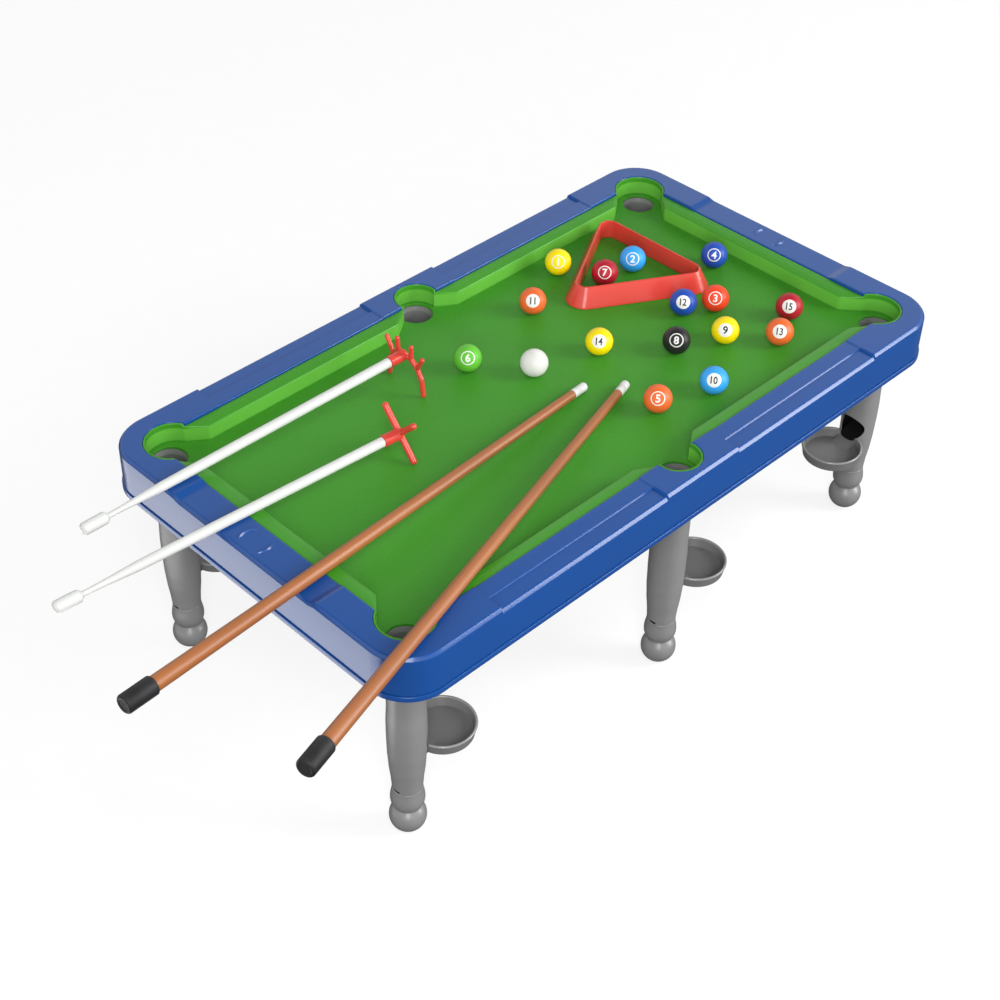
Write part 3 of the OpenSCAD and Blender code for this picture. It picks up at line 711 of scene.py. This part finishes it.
def bed_section(foot, edge, flange, rim):
    """Open profile over the cushion: floor, nose, top, green boundary, flange, hollow, and back under."""
    width = math.dist(foot, edge)
    away = unit(foot, edge)
    beyond = unit(edge, flange) if math.dist(edge, flange) > 1e-6 else away

    def at(distance, z):
        return row_point(foot[0] + away[0] * distance, foot[1] + away[1] * distance, z)

    def past(distance, z):
        return row_point(edge[0] + beyond[0] * distance, edge[1] + beyond[1] * distance, z)

    full = min(1.0, width / 9.0)
    heights = [GREEN_EDGE_Z + (z - GREEN_EDGE_Z) * full for z in (NOSE_TOP_Z, BAND_TOP_Z, GREEN_EDGE_Z)]
    nose_z, band_z, edge_z = (z + (RIM_TOP_Z - z) * abs(rim[0]) for z in heights)
    radius = min(NOSE_ROUND, 0.42 * width)
    band = radius + (width - radius) * 0.34
    last = max(width - min(0.4, 0.3 * width), radius * 1.01)
    path = [(0, BED_Z), (0, BED_Z + 0.5), (0, BED_Z + 5), (0, nose_z - radius - 1.5)]
    path += around((radius, nose_z - radius), radius, 180, 90, 8)
    path += [between((radius, nose_z), (band, band_z), t) for t in (0.3, 0.65, 0.93)]
    path += [between((band, band_z), (last, edge_z), t) for t in (0.05, 0.12, 0.4, 0.7, 1.0)]
    path += around((last, edge_z - (width - last)), width - last, 60, 0, 2)
    section = [at(*spot) for spot in path]
    reach = math.dist(edge, flange)
    section += [past(0, FLANGE_TOP), past(max(reach - 0.4, reach * 0.5), FLANGE_TOP)]
    section += [past(reach, FLANGE_TOP - 0.4), past(reach, FLANGE_UNDER)]
    room = max(0.0, min(1.0, (width - 4.5) / 3.0))
    inner = HOLLOW_WALL * room + width * (1 - room)
    outer = (width - HOLLOW_WALL) * room + width * (1 - room)
    ceiling = FLANGE_UNDER + (HOLLOW_TOP - FLANGE_UNDER) * room
    return section + [at(outer, FLANGE_UNDER), at(outer, ceiling), at(inner, ceiling), at(inner, BED_UNDER)]


def fill_between(outline, holes, z, flip):
    """Flat sheet at height z inside `outline` and outside round holes, each given as (centre, radius)."""
    points, edges = [], []
    for ring in [outline] + [around(*hole, 0, 360, HOLE_STEPS)[:-1] for hole in holes]:
        first = len(points)
        points += [Vector(point) for point in ring]
        edges += [(first + k, first + (k + 1) % len(ring)) for k in range(len(ring))]
    made, _, faces, *_ = delaunay_2d_cdt(points, edges, [], 1, 1e-7)
    bm = bmesh.new()
    verts = [bm.verts.new(row_point(point.x, point.y, z)) for point in made]
    for face in faces:
        middle = sum((made[k] for k in face), Vector((0, 0))) / len(face)
        if not any((middle - Vector(centre)).length < radius * 0.999 for centre, radius in holes):
            bm.faces.new([verts[k] for k in (reversed(face) if flip else face)])
    return bm


def make_bed():
    rungs = all_quarters(bed_rungs())
    sections = [bed_section(*rung) for rung in rungs]
    bm = bmesh.new()
    rows = [[bm.verts.new(point) for point in section] for section in sections]
    for a, b in zip(rows, rows[1:] + rows[:1]):
        for j in range(len(a) - 1):
            bm.faces.new((a[j], a[j + 1], b[j + 1], b[j]))
    under = [((s[-1].x - CENTRE.x) / MM, (s[-1].y - CENTRE.y) / MM) for s in sections]
    profile = [
        (HOLE_R + 0.5, BED_Z), (HOLE_R + 0.25, BED_Z - 0.07), (HOLE_R + 0.07, BED_Z - 0.25),
        (HOLE_R, BED_Z - 0.5), (HOLE_R, BED_UNDER), (SOCKET_BORE_R, BED_UNDER),
        (SOCKET_BORE_R, SOCKET_Z), (SOCKET_R, SOCKET_Z), (SOCKET_R, BED_UNDER),
    ]
    axes = [leg_axis(place) for place in PLACES]
    for axis in axes:
        for k in range(HOLE_STEPS):
            a, b = math.tau * k / HOLE_STEPS, math.tau * (k + 1) / HOLE_STEPS
            for (r0, z0), (r1, z1) in zip(profile, profile[1:]):
                bm.faces.new([
                    bm.verts.new(row_point(axis[0] + r * math.cos(t), axis[1] + r * math.sin(t), z))
                    for r, t, z in ((r0, a, z0), (r1, a, z1), (r1, b, z1), (r0, b, z0))
                ])
    feet, holes = [rung[0] for rung in rungs], [(axis, HOLE_R + 0.5) for axis in axes]
    append(bm, fill_between(feet, holes, BED_Z, False))
    append(bm, fill_between(under, [(axis, SOCKET_R) for axis in axes], BED_UNDER, True))
    bmesh.ops.remove_doubles(bm, verts=bm.verts, dist=2e-7)
    finish_mesh(bm, "bed_shell", GREEN, "table", ["bed"], "green_plastic", crease=42)


# ---- feet

BULB_R, BULB_Z, FOOT_NECK, FOOT_RING = 12.5, 12.0, (9.6, 22.6), (11.5, 29.5)


def make_feet():
    """Turned feet: a ball that flattens where it stands, a tight groove, a round ring and a shoulder."""
    (neck_r, neck_z), (ring_r, ring_z) = FOOT_NECK, FOOT_RING
    rise = math.degrees(math.asin((neck_z - 1.2 - BULB_Z) / BULB_R))
    profile = [(0, 0.02), (3.2, 0.02), *around((0, BULB_Z), BULB_R, -70, rise, 22)]
    profile += [FOOT_NECK, (neck_r + 0.25, neck_z + 1.0)]
    profile += smooth_curve([
        (neck_r + 0.7, neck_z + 1.9), (ring_r - 0.35, ring_z - 3.0), FOOT_RING, (ring_r - 0.3, ring_z + 3.4),
        (10.5, FOOT_TOP_Z - 3.2), (10.2, FOOT_TOP_Z - 0.3),
    ])
    profile += [(9.9, FOOT_TOP_Z), (0, FOOT_TOP_Z)]
    for place in PLACES:
        foot, name = lathe(profile), "foot_" + place
        axis = Matrix.Translation(row_point(*leg_axis(place), 0))
        finish_mesh(foot, name + "_bulb", FOOT_GREY, "table", [name], "foot_plastic", axis, crease=50)


# ---- tray rims

BEAD_R, BEAD_SWEEP = 0.95, 157


def make_tray_rims():
    """A rounded bead along each tray's rim, which ends at the leg on both sides, in a lighter grey than the
    tray as a painted highlight.
    """
    bead = [on_circle((TRAY_R - 0.75, TRAY_RIM_Z - 0.3), BEAD_R, angle) for angle in spread(0, 360, 16)[:-1]]
    for place, (side_x, _) in PLACES.items():
        axis_x, axis_y = leg_axis(place)
        way = -1 if side_x > 0 else 1
        sections = []
        for angle in spread(-BEAD_SWEEP, BEAD_SWEEP, 160):
            c, s = math.cos(math.radians(angle)), math.sin(math.radians(angle))
            sections.append([
                row_point(axis_x + way * (TRAY_REACH + reach * c), axis_y + reach * s, z) for reach, z in bead
            ])
        rim = loft(sections, close_path=False)
        finish_mesh(rim, f"tray_{place}_rim", RIM_HIGHLIGHT_GREY, "table", (), "tray_plastic", crease=60)


# ---- balls

YELLOW, SKY, SCARLET = (0.82, 0.62, 0.0), (0.03, 0.3, 0.72), (0.75, 0.05, 0.015)
NAVY, ORANGE, GRASS = (0.012, 0.06, 0.36), (0.68, 0.12, 0.025), (0.1, 0.42, 0.03)
MAROON, BLACK = (0.36, 0.008, 0.02), (0.012, 0.012, 0.014)
BALL_COLOURS = [
    YELLOW, SKY, SCARLET, NAVY, ORANGE, GRASS, MAROON, BLACK,
    YELLOW, SKY, ORANGE, NAVY, ORANGE, YELLOW, MAROON,
]
CUE_BALL_WHITE = (0.6, 0.6, 0.57)
SOLID_BALLS = 8
DIGIT_H, DIGIT_PROUD, DIGIT_DEEP, DIGIT_GRID = 5.6, 0.03, 0.12, 0.5
PAIR_FIT = 0.92, 0.86  # Two digits are a little lower, and narrower
PAINT_WHITE, PAINT_GREY = (
    moulded_plastic(name, colour, 0.5, 0.05, 0.000002, 0.02, Specular_IOR_Level=level)
    for name, colour, level in (
        ("number_white", (0.7, 0.7, 0.67), 0.2), ("number_grey", (0.03, 0.03, 0.035), 0.1),
    )
)


def number_mesh(text, centre, facing, up):
    """The digits as a thin shell that follows the ball's surface round `facing`."""
    curve = bpy.data.curves.new("digits", "FONT")
    curve.body = text
    curve.size = 1.0
    curve.align_x = "CENTER"
    curve.offset = 0.024
    curve.resolution_u = 6
    writing = linked("digits", curve)
    bpy.context.view_layer.update()
    flat = frozen(writing)
    bpy.data.curves.remove(curve)
    bm = bmesh.new()
    bm.from_mesh(flat)
    bpy.data.meshes.remove(flat)
    xs, ys = [v.co.x for v in bm.verts], [v.co.y for v in bm.verts]
    smaller, narrower = PAIR_FIT if len(text) > 1 else (1.0, 1.0)
    size = DIGIT_H * smaller / (max(ys) - min(ys))
    middle = Vector(((max(xs) + min(xs)) / 2, (max(ys) + min(ys)) / 2, 0))
    for vert in bm.verts:
        vert.co = (vert.co - middle) * size
        vert.co.x *= narrower
    bmesh.ops.remove_doubles(bm, verts=bm.verts, dist=1e-4)
    bmesh.ops.dissolve_limit(bm, angle_limit=0.01, verts=bm.verts, edges=bm.edges)
    steps = int(DIGIT_H / DIGIT_GRID) + 1
    for axis in (Vector((1, 0, 0)), Vector((0, 1, 0))):
        for k in range(-steps, steps + 1):
            geometry = bm.verts[:] + bm.edges[:] + bm.faces[:]
            bmesh.ops.bisect_plane(bm, geom=geometry, plane_co=axis * (k + 0.37) * DIGIT_GRID, plane_no=axis)
    bmesh.ops.triangulate(bm, faces=bm.faces)
    made = bmesh.ops.extrude_face_region(bm, geom=bm.faces[:])
    lifted = {item for item in made["geom"] if isinstance(item, bmesh.types.BMVert)}
    right = up.cross(facing)
    for vert in bm.verts:
        u, v = vert.co.x, vert.co.y
        out = math.sqrt(BALL_R**2 - u * u - v * v)
        direction = (right * u + up * v + facing * out) / BALL_R
        radius = BALL_R + DIGIT_PROUD if vert in lifted else BALL_R - DIGIT_DEEP
        vert.co = centre + direction * radius * MM
    return bm


def make_balls(camera_at):
    for number, colour in enumerate(BALL_COLOURS, 1):
        body = f"ball_{number:02d}"
        centre = box_centre(body)
        facing = (camera_at - centre).normalized()
        up = (Vector((0, 0, 1)) - facing * facing.z).normalized()
        ring = number <= SOLID_BALLS
        paint(body, numbered_ball(body + "_paint", colour, centre, facing, ring))
        mark = number_mesh(str(number), centre, facing, up)
        ink = PAINT_WHITE if ring else PAINT_GREY
        finish_mesh(mark, body + "_number", ink, body, (), "white_plastic", crease=50)
    cue_ball = numbered_ball("ball_cue_paint", CUE_BALL_WHITE, box_centre("ball_cue"))
    paint("ball_cue", cue_ball)


def paint(part, material):
    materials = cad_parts[part].data.materials
    materials.clear()
    materials.append(material)


def paint_leg(place):
    """A leg and its tray, with painted shade inside the bore where the leg's window looks in, above the foot,
    and on the tray's ramp inside the leg.
    """
    axis = row_point(*leg_axis(place), 0)
    bore = (LEG_BORE_R + 0.1, CAVITY_TOP_Z, WINDOW_SHADE_TOP_Z, 30)
    cavity = (CAVITY_R + 0.1, FOOT_TOP_Z - 1, CAVITY_TOP_Z, 0.2)
    # Painted shade on the tray's ramp where it runs inside the leg
    ramp_painted_shade = (LEG_R - 0.4, CAVITY_TOP_Z, WINDOW_SHADE_TOP_Z, 30)
    leg = moulded_plastic(f"leg_{place}_grey", LEG_GREY, 0.38, hollow=(axis, (bore, cavity)))
    tray = moulded_plastic(f"tray_{place}_grey", TRAY_GREY, 0.34, hollow=(axis, (ramp_painted_shade,)))
    paint("leg_" + place, leg)
    paint("tray_" + place, tray)


# ---- cues and rests

CUE_L, CUE_TIP_R, CUE_BUTT_R, BUTT_CAP_R, BUTT_CAP_L, TIP_L = 425.0, 3.25, 5.2, 6.25, 22.0, 14.0
CUES = {"cue_one": ((21.7, -23.0), 186.0, 3.1934), "cue_two": ((44.6, -41.0), 198.15, 3.5233)}
REST_L, REST_R, KNOB_R, KNOB_L, NECK_R, NECK_TAPER_L = 262.0, 3.5, 4.25, 20.0, 1.8, 40.0
SLEEVE_R, SLEEVE_L, SPIDER_ARM_R, CROSS_ARM_R = 4.2, 14.0, 1.9, 2.3
SPIDER = ((-66.0, 66.4, 200.0), 177.0, -2.6433)
CROSS = ((-119.0, 14.1, END_RAIL_Z + FIT + REST_R), 176.0, 0.0)
SPIDER_LEG = [(0, 0), (7, -1), (13, -6), (17, -13), (18.5, FIT + SPIDER_ARM_R - 28.0)]
SPIDER_HORNS = [((7, -1), (7.5, 9.5)), ((13, -6), (19, 5))]
MELT_VOXEL = 0.00024


def stick_matrix(start, heading, pitch):
    """Takes a lathe's Z, in metres from the stick's front end, onto the stick's line."""
    turn = Matrix.Rotation(math.radians(heading), 4, "Z") @ Matrix.Rotation(math.radians(-pitch), 4, "Y")
    return Matrix.Translation(row_point(*start)) @ turn @ Matrix.Rotation(math.radians(90), 4, "Y")


def cue_radius(run):
    return CUE_TIP_R + (CUE_BUTT_R - CUE_TIP_R) * run / CUE_L


def make_cues():
    for name, (tip, heading, pitch) in CUES.items():
        place = stick_matrix((*tip, BED_Z + FIT + CUE_TIP_R), heading, pitch)
        end = CUE_L - BUTT_CAP_L
        r0, r1 = cue_radius(0), cue_radius(TIP_L)
        shaft = [(0, TIP_L - 10), (2, TIP_L - 10), (2, TIP_L), (r1 - 0.15, TIP_L), (r1, TIP_L + 0.2)]
        shaft += [(cue_radius(z), z) for z in stations((40, end - 20, 40))]
        shaft += [(cue_radius(end), end), (4, end), (4, end + 18), (0, end + 18)]
        film, part = name + "_shaft_film", name + "_shaft"
        finish_mesh(lathe(shaft), film, CUE_WOOD, name, [part], "cue_shaft_plastic", place)
        cap = [(2.05, TIP_L), (2.05, TIP_L - 10.5), (0, TIP_L - 10.5), (0, 0), (r0 - 1.7, 0.04)]
        cap += around((r0 - 1.2, 1.2), 1.2, -75, 0, 6) + [(r0 + 0.02, 6), (r0 - 0.1, 6.25)]
        cap += [(r0 - 0.1, 6.6), (r0 + 0.06, 6.85), (r1, TIP_L - 0.2), (r1 - 0.15, TIP_L)]
        finish_mesh(lathe(cap[::-1]), name + "_tip_cap", WHITE, name, [name + "_tip"], "white_plastic", place)
        butt = [(4.05, end), (BUTT_CAP_R - 0.9, end), *around((BUTT_CAP_R - 0.8, end + 0.8), 0.8, -80, 0, 5)]
        butt += around((BUTT_CAP_R - 1.5, CUE_L - 1.5), 1.5, 0, 84, 8)
        butt += [(BUTT_CAP_R - 2.2, CUE_L - 0.05), (BUTT_CAP_R - 2.6, CUE_L - 0.35), (0, CUE_L - 0.35)]
        butt += [(0, end + 18.5), (4.05, end + 18.5)]
        finish_mesh(lathe(butt), name + "_butt_cap", RUBBER, name, [name + "_butt"], "cue_rubber", place)


def fused(parts, name, body, node, slot, place):
    """Melts closed parts, given in metres, into one smooth moulding."""
    bm = bmesh.new()
    for part in parts:
        append(bm, part)
    bmesh.ops.recalc_face_normals(bm, faces=bm.faces)
    mesh = baked(bm, "melt")
    scratch = linked("melt", mesh)
    remesh = scratch.modifiers.new("melt", "REMESH")
    remesh.mode = "VOXEL"
    remesh.voxel_size = MELT_VOXEL
    remesh.use_smooth_shade = True
    soften = scratch.modifiers.new("soften", "SMOOTH")
    soften.factor = 0.5
    soften.iterations = 5
    made = frozen(scratch)
    bpy.data.meshes.remove(mesh)
    place_mesh(made, name, RED, body, [node], slot, place, crease=180)


def limb(start, end, radius):
    """A rod with ball ends between two points in millimetres, on the stick's own axes (x along it)."""
    a, b = Vector(start) * MM, Vector(end) * MM
    length = (b - a).length / MM
    cap = [(0, -radius), *around((0, 0), radius, -80, 0, 8)]
    bm = lathe(cap + [(r, length - z) for r, z in reversed(cap)], 32)
    turn = Vector((0, 0, 1)).rotation_difference(b - a).to_matrix().to_4x4()
    bmesh.ops.transform(bm, matrix=Matrix.Translation(a) @ turn, verts=bm.verts)
    return bm


def sleeve():
    outside = [(0, 0), (SLEEVE_R - 0.5, 0), (SLEEVE_R, 0.5), (SLEEVE_R, SLEEVE_L)]
    bm = lathe(outside + [(3.05, SLEEVE_L), (3.05, 2), (0, 2)], 64)
    bmesh.ops.rotate(bm, matrix=Matrix.Rotation(math.radians(90), 3, "Y"), verts=bm.verts)
    return bm


def make_rests():
    upright = Matrix.Rotation(math.radians(-90), 4, "Y")
    for name, (start, heading, pitch) in (("spider", SPIDER), ("cross", CROSS)):
        place = stick_matrix(start, heading, pitch)
        body = name + "_rest"
        neck = REST_L - KNOB_L
        shaft = [(0, 2.5), (2.9, 2.5), (3.0, 2.7), (3.0, SLEEVE_L)]
        shaft += [(REST_R - 0.3, SLEEVE_L), (REST_R, SLEEVE_L + 0.3)]
        shaft += [(REST_R, z) for z in stations((60, neck - NECK_TAPER_L - 20, 40))]
        for t in spread(0, 1, 10):
            shaft.append((REST_R + (NECK_R - REST_R) * ease(-0.25, 1.0, t), neck - NECK_TAPER_L * (1 - t)))
        shaft += [(1.5, neck), (1.5, neck + 12), (0, neck + 12)]
        finish_mesh(lathe(shaft), body + "_rod", WHITE, body, [name + "_shaft"], "white_plastic", place)
        knob = [(1.55, neck), (NECK_R + 0.1, neck)] + smooth_curve([
            (NECK_R + 0.6, neck + 0.3), (KNOB_R - 0.6, neck + 1.9), (KNOB_R, neck + 3.6),
            (KNOB_R, REST_L - 3.6), (KNOB_R - 0.5, REST_L - 1.6), (KNOB_R - 1.7, REST_L - 0.35),
            (KNOB_R - 3.0, REST_L),
        ], 4) + [(0, REST_L), (0, neck + 12.5), (1.55, neck + 12.5)]
        finish_mesh(lathe(knob), body + "_grip", WHITE, body, [name + "_knob"], "white_plastic", place)
        parts = [sleeve()]
        if name == "spider":
            limbs = [(a, b, SPIDER_ARM_R) for a, b in zip(SPIDER_LEG, SPIDER_LEG[1:])]
            limbs += [(a, b, SPIDER_ARM_R - 0.2) for a, b in SPIDER_HORNS]
            for side in (-1, 1):
                parts += [limb((0, side * a[0], a[1]), (0, side * b[0], b[1]), r) for a, b, r in limbs]
        else:
            reach = start[2] - BED_Z - FIT - CROSS_ARM_R
            parts += [limb((0, -reach, s * reach), (0, reach, -s * reach), CROSS_ARM_R) for s in (-1, 1)]
        fused(parts, body + "_head", body, name + "_head", "red_plastic", place @ upright)


# ---- ball rack

RACK_AT, RACK_H, RACK_WALL, RACK_GROOVE_H = (151.0, 53.3), 15.0, 1.5, 10.5
RACK_BOTTOM, RACK_TOP = (38.0, 14.0), (31.2, 8.0)


def rack_path(inradius, corner_r, shrink):
    """A rounded triangle, given by its inner circle and corners, moved inwards by `shrink`."""
    path = []
    for turn in (60, 180, 300):
        centre = on_circle((0, 0), 2 * (inradius - corner_r), turn)
        bend = around(centre, corner_r - shrink, turn - 60, turn + 60, 24)
        if path:
            path += [between(path[-1], bend[0], k / 12) for k in range(1, 12)]
        path += bend
    return path + [between(path[-1], path[0], k / 12) for k in range(1, 12)]


def rack_ring(flared, height, shrink):
    """Points of the rack's flared outside or upright inside at a height, moved inwards by `shrink`."""
    low, high = rack_path(*(RACK_BOTTOM if flared else RACK_TOP), shrink), rack_path(*RACK_TOP, shrink)
    ring = [between(a, b, height / RACK_H) for a, b in zip(low, high)]
    return [row_point(RACK_AT[0] + x, RACK_AT[1] + y, BED_Z + FIT + height) for x, y in ring]


def make_rack():
    r, shoulder = RACK_WALL / 2, RACK_H - 2.2
    rings = [(True, 0.0, 0.4), (True, 0.12, 0.12), (True, 0.4, 0.0)]
    rings += [(True, h, 0.0) for h in spread(1.5, shoulder, 6)]
    rings += [(True, h, shrink) for shrink, h in around((r, RACK_H - r), r, 180, 0, 8)]
    rings += [(False, h, RACK_WALL) for h in spread(shoulder, 1.5, 6)]
    rings += [(False, 0.4, RACK_WALL), (False, 0.12, RACK_WALL - 0.12), (False, 0.0, RACK_WALL - 0.4)]
    rings += [(False, 0.0, 0.0), (False, RACK_GROOVE_H, 0.0), (True, RACK_GROOVE_H, RACK_WALL)]
    rings.append((True, 0.0, RACK_WALL))
    shell = loft([rack_ring(*ring) for ring in rings])
    finish_mesh(shell, "rack_shell", RED, "ball_rack", ["rack"], "red_plastic", crease=50)


# ---- set and lights

FLOOR_HALF, FLOOR_Z, FLOOR_GLOW = 6.0, -0.0004, 0.76

# Brightness of the surroundings at the sine of each elevation: a bright band above the horizon
WORLD_SHADES = (
    (-0.99, 0.12), (-0.08, 0.15), (0.05, 0.8), (0.32, 1.2), (0.5, 1.2), (0.78, 0.25), (0.99, 0.15),
)


def backdrop():
    """Plain pale floor."""
    bm = bmesh.new()
    spots = [(sx * FLOOR_HALF, sy * FLOOR_HALF, FLOOR_Z) for sx, sy in ((-1, -1), (1, -1), (1, 1), (-1, 1))]
    bm.faces.new([bm.verts.new(spot) for spot in spots])
    mesh = baked(bm, "floor")
    surface = Surface("floor_paper", 0.9, Specular_IOR_Level=0.0, Emission_Strength=FLOOR_GLOW)
    surface.shader.inputs["Emission Color"].default_value = (1.0, 1.0, 1.0, 1.0)
    paper = surface.mix(surface.noise(40.0, 4.0), (0.21, 0.21, 0.21), (0.23, 0.23, 0.23))
    surface.tree.links.new(paper, surface.shader.inputs["Base Color"])
    mesh.materials.append(surface.material)
    floor = linked("floor", mesh)
    floor.visible_glossy = floor.visible_diffuse = False


def panel(name, at, aim, size, power):
    """A soft area light at `at`, in millimetres from the table's centre, turned towards `aim`."""
    data = bpy.data.lights.new(name, "AREA")
    data.shape = "RECTANGLE"
    data.size, data.size_y = size
    data.energy = power
    lamp = linked(name, data)
    lamp.location = row_point(*at)
    lamp.rotation_mode = "QUATERNION"
    lamp.rotation_quaternion = (row_point(*aim) - lamp.location).to_track_quat("-Z", "Y")
    lamp.visible_camera = False
    return lamp


def make_lights():
    panel("key", (1350, -1550, 900), (0, 0, 150), (0.8, 1.8), 46)
    panel("fill", (-1050, -1050, 1150), (0, 0, 150), (0.45, 1.8), 28)
    card = panel("left_card", (-420, 150, 2), (-420, 150, 400), (0.22, 0.46), 0.95)
    card.visible_diffuse = False
    world = bpy.data.worlds.new("studio")
    world.use_nodes = True
    nodes, links = world.node_tree.nodes, world.node_tree.links
    direction = nodes.new("ShaderNodeTexCoord")
    split = nodes.new("ShaderNodeSeparateXYZ")
    height = nodes.new("ShaderNodeMapRange")
    shades = nodes.new("ShaderNodeValToRGB")
    height.inputs["From Min"].default_value = -1.0
    links.new(direction.outputs["Generated"], split.inputs["Vector"])
    links.new(split.outputs["Z"], height.inputs["Value"])
    links.new(height.outputs["Result"], shades.inputs["Fac"])
    links.new(shades.outputs["Color"], nodes["Background"].inputs["Color"])
    stops = shades.color_ramp.elements
    for rise, strength in WORLD_SHADES:
        stops.new((1 + rise) / 2).color = (strength, strength, strength, 1.0)
    stops.remove(stops[0])
    stops.remove(stops[-1])
    bpy.context.scene.world = world
    bpy.context.scene.view_settings.view_transform = "Standard"


# ---- build

CAMERA = make_camera()
make_frame()
make_bed()
for place in PLACES:
    paint_leg(place)
paint("bed_screws", STEEL)
make_feet()
make_tray_rims()
make_balls(CAMERA.location.copy())
make_cues()
make_rests()
make_rack()
backdrop()
make_lights()
